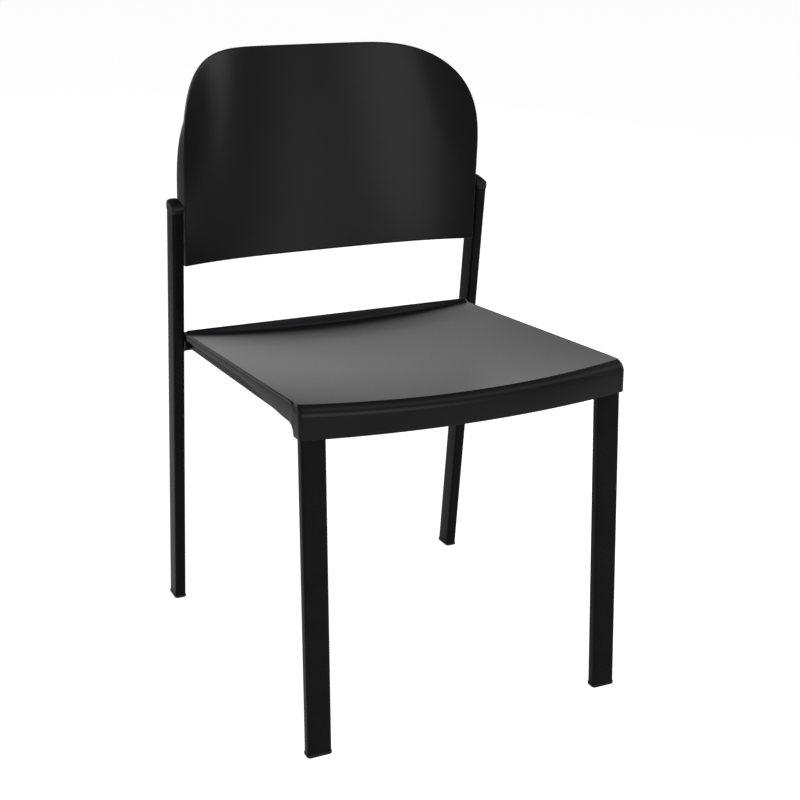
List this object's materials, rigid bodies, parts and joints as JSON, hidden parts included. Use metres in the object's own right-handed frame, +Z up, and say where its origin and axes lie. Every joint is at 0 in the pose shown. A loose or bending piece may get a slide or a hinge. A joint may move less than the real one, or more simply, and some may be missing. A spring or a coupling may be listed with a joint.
{
  "type": "choir chair",
  "caption": "Armless stacking chair with a dished moulded seat and a winged moulded backrest on a welded frame of flat-sided oval tube.",
  "frame": {"origin": "on the floor, under the middle of the chair's width and depth", "axes": "+Z up, -Y the way a sitter faces, +X to the right of someone who looks at the chair's front"},
  "size_m": [0.4834, 0.5588, 0.821],
  "materials": {
    "frame": "satin black powder coat",
    "moulding": "fine textured black polypropylene",
    "plug": "smooth black polyethylene",
    "fastener": "bright zinc plate"
  },
  "bodies": {
    "root": {"upright_left": "frame", "upright_right": "frame", "front_leg_left": "frame", "front_leg_right": "frame", "side_rail_left": "frame", "side_rail_right": "frame", "front_cross_rail": "frame", "rear_cross_rail": "frame", "weld_spacer_left": "frame", "weld_spacer_right": "frame", "seat_tab_left": "frame", "seat_tab_right": "frame", "seat_shell": "moulding", "backrest_shell": "moulding", "upright_cap_left": "plug", "upright_cap_right": "plug", "foot_plug_front_left": "plug", "foot_plug_front_right": "plug", "foot_plug_rear_left": "plug", "foot_plug_rear_right": "plug", "front_seat_screws": "fastener", "rear_seat_screws": "fastener", "seat_washers": "fastener", "backrest_screws": "fastener", "backrest_washers": "fastener", "rivet_nuts": "fastener"}
  },
  "joints": []
}
